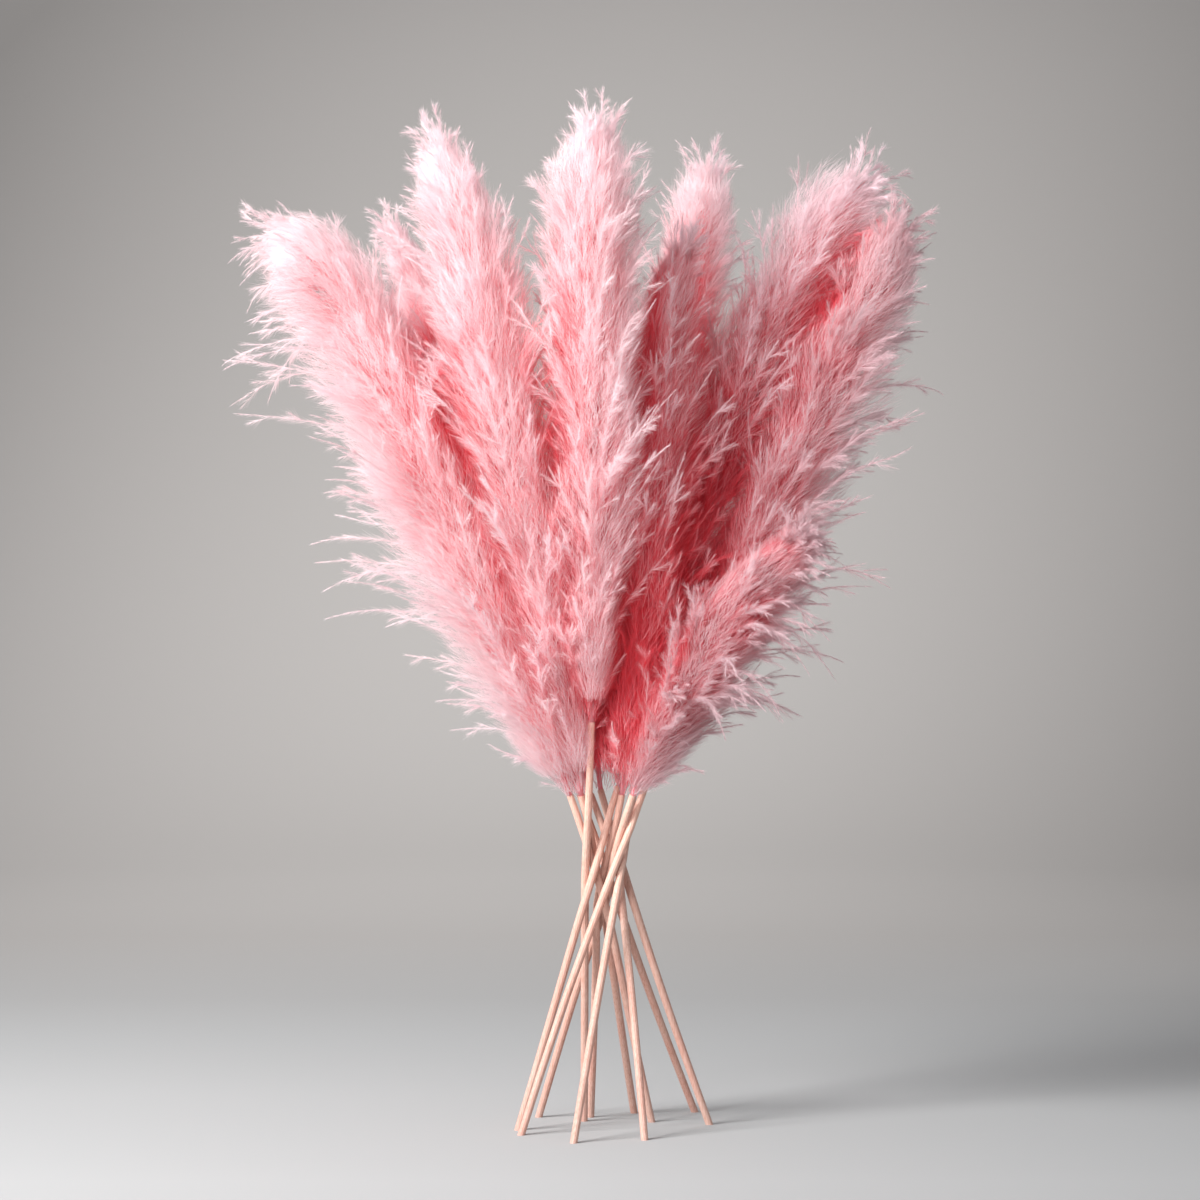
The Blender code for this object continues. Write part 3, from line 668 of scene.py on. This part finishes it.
# --------------------------------------------------------------------------- the studio
def stage_material():
    """Plain studio paper with painted light on it: a pale floor that turns into a slightly warmer, darker wall."""
    m = bpy.data.materials.new("studio_paper_painted_light")
    m.use_nodes = True
    t = m.node_tree
    s = t.nodes["Principled BSDF"]
    s.inputs["Roughness"].default_value = 0.9
    s.inputs["Specular IOR Level"].default_value = 0.1
    coord = node(t, "ShaderNodeTexCoord", (-1200, 0))
    split = node(t, "ShaderNodeSeparateXYZ", (-1000, 0))
    t.links.new(coord.outputs["Object"], split.inputs[0])
    def maths(kind, at, *values):
        n = node(t, "ShaderNodeMath", at, operation=kind)
        for i, value in enumerate(values):
            if isinstance(value, (int, float)):
                n.inputs[i].default_value = value
            else:
                t.links.new(value, n.inputs[i])
        return n.outputs[0]

    # painted light: brightness along the floor, from in front of the bundle to the foot of the wall
    along = maths("MULTIPLY_ADD", (-800, 200), split.outputs["Y"], 1 / 8.5, 4.5 / 8.5)
    shade = [(-4.4, 1.68), (-3.6, 1.55), (-2.8, 0.95), (-1.6, 0.95), (-0.75, 1.42), (-0.35, 1.60), (0.19, 1.54), (0.68, 1.36), (1.10, 1.21), (1.40, 1.18), (1.95, 1.135), (2.70, 1.15), (3.50, 1.22)]
    floor = ramp(t, (-600, 300), [((y + 4.5) / 8.5, (v / 1.7, v / 1.7, v / 1.7)) for y, v in shade])
    t.links.new(along, floor.inputs["Fac"])
    warm = ramp(t, (-600, 0), [((0.7 + 4.5) / 8.5, (1.0, 1.0, 1.0)), ((1.9 + 4.5) / 8.5, (1.0, 0.955, 0.925))])
    t.links.new(along, warm.inputs["Fac"])
    # and a painted pool of light, which falls off up the wall and to its sides
    middle = maths("MULTIPLY_ADD", (-1000, -200), split.outputs["Z"], -0.2256 / 2.7, 0.373 / 2.7)
    dx = maths("MULTIPLY_ADD", (-800, -200), split.outputs["X"], 1 / 2.7, middle)
    dz = maths("MULTIPLY_ADD", (-800, -400), split.outputs["Z"], 1 / 1.75, -0.29 / 1.75)
    rise = maths("MULTIPLY_ADD", (-600, -400), maths("MULTIPLY", (-700, -400), dz, dz), -0.33, 1.0)
    across = maths("MULTIPLY_ADD", (-600, -200), maths("MULTIPLY", (-700, -200), dx, dx), -1.0,
                   maths("MULTIPLY_ADD", (-700, -300), split.outputs["X"], 0.05, 1.02))
    painted_light_pool = maths("MAXIMUM", (0, -300), maths("MULTIPLY", (-200, -300), rise, across), 0.42)
    # the sheet's far sides, which the back wall's painted fall-off doesn't reach, are painted paler again
    beside = maths("SUBTRACT", (-600, -600), maths("ABSOLUTE", (-800, -600), split.outputs["X"]), 1.75)
    beside = maths("MINIMUM", (-200, -600), maths("MULTIPLY", (-400, -600), beside, 1.1), 1.45)
    painted_light_pool = maths("MAXIMUM", (100, -400), painted_light_pool, beside)
    mix = node(t, "ShaderNodeMix", (-200, 200), data_type="RGBA", blend_type="MULTIPLY")
    mix.inputs["Factor"].default_value = 1.0
    t.links.new(floor.outputs["Color"], mix.inputs["A"])
    t.links.new(warm.outputs["Color"], mix.inputs["B"])
    level = node(t, "ShaderNodeVectorMath", (0, 100), operation="SCALE")
    t.links.new(mix.outputs["Result"], level.inputs[0])
    t.links.new(maths("MULTIPLY", (200, -300), painted_light_pool, 0.255 * 1.7), level.inputs["Scale"])
    t.links.new(level.outputs[0], s.inputs["Base Color"])
    return m


def sweep():
    """A round seamless sheet: a flat floor that rises in a wide curve to a wall all round."""
    profile, rad, z, step = [(0.33 * i, 0.0) for i in range(11)], 3.30, 0.0, 0.075
    for i in range(40):
        share = (i + 0.5) / 40
        slope = math.pi / 2 * share * share * (3 - 2 * share)
        rad, z = rad + step * math.cos(slope), z + step * math.sin(slope)
        profile.append((rad, z))
    profile.append((rad, 3.4))
    seg = 96
    verts = [(0.0, 0.0, 0.0)]
    for rad, z in profile[1:]:
        verts += [(rad * math.cos(2 * math.pi * j / seg), rad * math.sin(2 * math.pi * j / seg), z) for j in range(seg)]
    faces = [(0, 1 + j, 1 + (j + 1) % seg) for j in range(seg)]
    for i in range(len(profile) - 2):
        a, b = 1 + i * seg, 1 + (i + 1) * seg
        faces += [(a + j, b + j, b + (j + 1) % seg, a + (j + 1) % seg) for j in range(seg)]
    mesh = bpy.data.meshes.new("studio_sweep")
    mesh.from_pydata(verts, [], faces)
    mesh.materials.append(stage_material())
    mesh.shade_smooth()
    o = bpy.data.objects.new("studio_sweep", mesh)
    bpy.context.scene.collection.objects.link(o)
    return o


sweep()


def area(name, at, look, size, power, colour=(1, 1, 1)):
    data = bpy.data.lights.new(name, "AREA")
    data.shape = "RECTANGLE"
    data.size, data.size_y = size
    data.energy = power
    data.color = colour
    o = bpy.data.objects.new(name, data)
    o.location = at
    o.rotation_euler = (Vector(look) - Vector(at)).to_track_quat("-Z", "Y").to_euler()
    bpy.context.scene.collection.objects.link(o)
    return o


area("key", (-2.6, -1.9, 2.25), (0.0, 0.0, 0.56), (1.6, 1.6), 278)
area("front", (-1.1, -3.4, 1.0), (0.0, 0.0, 0.60), (1.6, 1.4), 58)
area("wall_wash", (-0.4, 2.2, 3.1), (-0.2, 5.0, 0.9), (3.0, 0.6), 140)

world = bpy.data.worlds.new("studio")
world.use_nodes = True
world.node_tree.nodes["Background"].inputs["Color"].default_value = (0.94, 0.96, 1.0, 1.0)
world.node_tree.nodes["Background"].inputs["Strength"].default_value = 0.50
bpy.context.scene.world = world
bpy.context.scene.view_settings.view_transform = "Standard"
bpy.context.scene.view_settings.look = "None"

# --------------------------------------------------------------------------- the camera
cam = bpy.data.cameras.new("camera")
cam.sensor_width = 36.0
cam.lens = 98.1
cam.clip_end = 60.0
camera = bpy.data.objects.new("camera", cam)
camera.location = (FRAME_SHIFT[0], -3.45 + FRAME_SHIFT[1], 0.556)
camera.rotation_euler = (math.radians(90), 0.0, 0.0)
bpy.context.scene.collection.objects.link(camera)
bpy.context.scene.camera = camera
